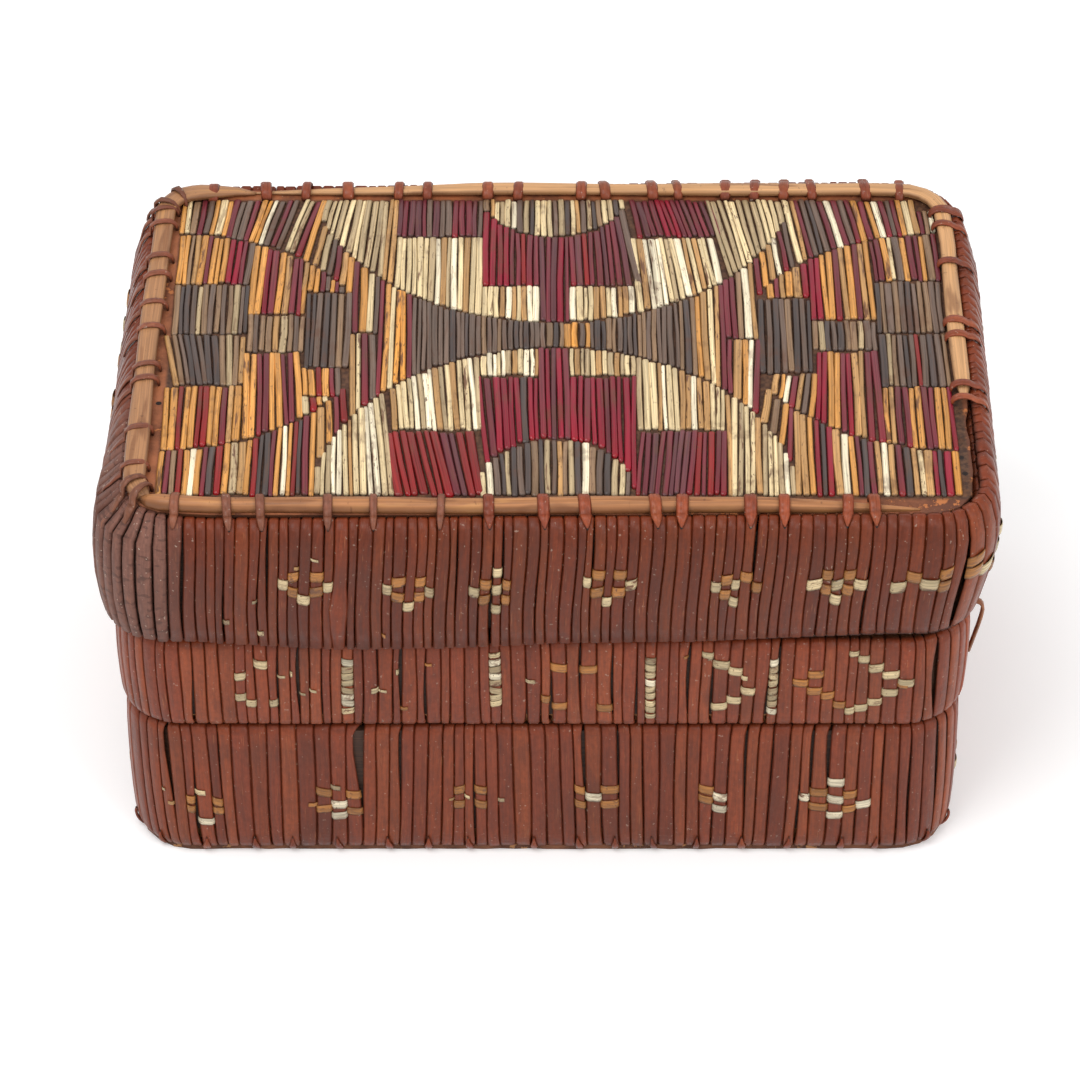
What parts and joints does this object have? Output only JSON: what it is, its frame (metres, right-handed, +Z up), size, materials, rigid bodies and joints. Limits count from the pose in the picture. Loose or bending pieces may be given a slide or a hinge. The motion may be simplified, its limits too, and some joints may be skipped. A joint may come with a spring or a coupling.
{
  "type": "quill box",
  "caption": "Lidded birch bark box with porcupine quillwork on the lid and walls of hoops wound with split root.",
  "frame": {"origin": "middle of the box in plan, on the surface it stands on", "axes": "+Z up, +X along the long side towards the viewer's right, -Y towards the viewer"},
  "size_m": [0.2296, 0.1506, 0.1214],
  "materials": {
    "root": "satin",
    "lashing": "satin",
    "bark": "matte",
    "bark_inside": "matte",
    "splint": "matte",
    "hoop": "satin",
    "quill_cream": "satin",
    "quill_crimson": "satin",
    "quill_maroon": "satin",
    "quill_orange": "satin",
    "quill_dark": "satin"
  },
  "bodies": {
    "base": {"bottom_panel": "bark", "inner_liner": "bark_inside", "lower_ring_core": "splint", "lower_ring_root_wrap": "root", "middle_ring_core": "splint", "middle_ring_root_wrap": "root", "bottom_stitching": "lashing", "loose_root": "root"},
    "lid": {"lid_panel": "bark", "lid_lining": "bark_inside", "lid_ring_core": "splint", "lid_ring_root_wrap": "root", "hoop_front": "hoop", "hoop_left": "hoop", "hoop_back_right": "hoop", "lashing_front": "lashing", "lashing_left": "lashing", "lashing_back": "lashing", "lashing_right": "lashing", "front_cross": "quill_crimson", "front_small_half_circle": "quill_dark", "front_cream_left": "quill_cream", "front_cream_right": "quill_cream", "back_cross": "quill_maroon", "back_small_half_circle": "quill_dark", "back_cream_left": "quill_cream", "back_cream_right": "quill_cream", "bow_tie": "quill_dark", "left_bow_stripes": "quill_orange", "right_bow_stripes": "quill_orange", "left_steps": "quill_dark", "left_back_stripes": "quill_orange", "left_front_stripes": "quill_maroon", "right_steps": "quill_dark", "right_back_stripes": "quill_orange", "right_front_stripes": "quill_maroon", "corner_back_left": "quill_orange", "corner_front_left": "quill_maroon", "corner_back_right": "quill_orange", "corner_front_right": "quill_maroon"}
  },
  "joints": [
    {"name": "lid_lift", "type": "slide", "parent": "base", "child": "lid", "axis": [0, 0, 1], "range_m": [0, 0.12]}
  ]
}
